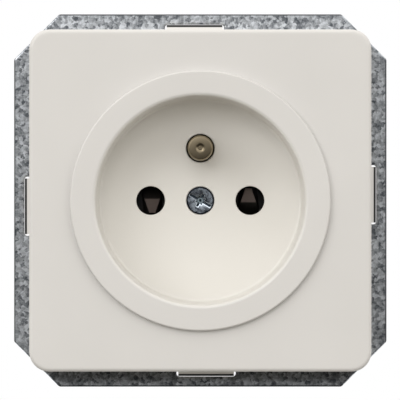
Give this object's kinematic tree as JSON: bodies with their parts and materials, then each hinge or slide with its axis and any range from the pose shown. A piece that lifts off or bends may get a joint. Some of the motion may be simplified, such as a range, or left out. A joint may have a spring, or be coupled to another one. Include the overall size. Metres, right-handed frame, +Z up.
{
  "type": "type e wall socket",
  "caption": "Flush wall socket with a round plug recess, a projecting earth pin, shuttered contact holes, a square front plate and a sheet steel frame with spreading claws.",
  "frame": {"origin": "centre of the support frame's back face, which lies on the wall", "axes": "+X right, +Z up, +Y into the wall; the front plate faces -Y"},
  "size_m": [0.071, 0.0382, 0.071],
  "materials": {
    "white_thermoset": "satin moulded",
    "grey_thermoset": "moulded, matte",
    "black_plastic": "glossy moulded",
    "galvanised_sheet": "spangled zinc coat",
    "zinc_screw": "blue passivated zinc",
    "zinc_claw": "zinc plated",
    "spring_steel": "drawn wire",
    "brass": "pressed, bright",
    "nickel_brass": "nickel plated brass, satin"
  },
  "bodies": {
    "root": {"cover_plate": "white_thermoset", "cover_screw": "zinc_screw", "support_frame": "galvanised_sheet", "frame_rivets": "zinc_screw", "strap_rivet": "brass", "insert_base": "grey_thermoset", "contact_cover": "grey_thermoset", "carrier_screws": "zinc_screw", "centre_bush": "brass", "shutter_clip": "spring_steel", "shutter_spring": "spring_steel", "live_contact": "brass", "neutral_contact": "brass", "live_terminal": "brass", "neutral_terminal": "brass", "earth_terminal": "brass", "live_terminal_screw": "zinc_screw", "neutral_terminal_screw": "zinc_screw", "earth_terminal_screw": "zinc_screw", "earth_pin": "nickel_brass", "earth_strap": "galvanised_sheet"},
    "shutter_rotor": {"shutter": "black_plastic"},
    "right_screw": {"claw_screw_right": "zinc_screw"},
    "right_wedge": {"claw_nut_right": "zinc_claw"},
    "right_claw": {"claw_right": "zinc_claw"},
    "left_screw": {"claw_screw_left": "zinc_screw"},
    "left_wedge": {"claw_nut_left": "zinc_claw"},
    "left_claw": {"claw_left": "zinc_claw"}
  },
  "joints": [
    {"name": "shutter_turn", "type": "hinge", "parent": "root", "child": "shutter_rotor", "pos_m": [0, 0, 0], "axis": [0, -1, 0], "range_deg": [0, 38], "stiffness_Nm_per_rad": 0.003, "springref_deg": -17.19, "deforming": ["shutter_spring"]},
    {"name": "right_claw_screw_turn", "type": "hinge", "parent": "root", "child": "right_screw", "pos_m": [0.0246, 0, 0], "axis": [0, 1, 0], "range_deg": [0, 5040]},
    {"name": "right_wedge_travel", "type": "slide", "parent": "root", "child": "right_wedge", "axis": [0, -1, 0], "range_m": [0, 0.007]},
    {"name": "right_claw_spread", "type": "hinge", "parent": "root", "child": "right_claw", "pos_m": [0.0236, 0.0014, 0], "axis": [0, 0, -1], "range_deg": [0, 10.1]},
    {"name": "left_claw_screw_turn", "type": "hinge", "parent": "root", "child": "left_screw", "pos_m": [-0.0246, 0, 0], "axis": [0, 1, 0], "range_deg": [0, 5040]},
    {"name": "left_wedge_travel", "type": "slide", "parent": "root", "child": "left_wedge", "axis": [0, -1, 0], "range_m": [0, 0.007]},
    {"name": "left_claw_spread", "type": "hinge", "parent": "root", "child": "left_claw", "pos_m": [-0.0236, 0.0014, 0], "axis": [0, 0, 1], "range_deg": [0, 10.1]}
  ],
  "couplings": [
    {"joint": "right_claw_screw_turn", "follows": "right_wedge_travel", "rad_per_m": 12566},
    {"joint": "right_claw_spread", "follows": "right_wedge_travel", "rad_per_m": 25.13},
    {"joint": "left_claw_screw_turn", "follows": "left_wedge_travel", "rad_per_m": 12566},
    {"joint": "left_claw_spread", "follows": "left_wedge_travel", "rad_per_m": 25.13}
  ]
}
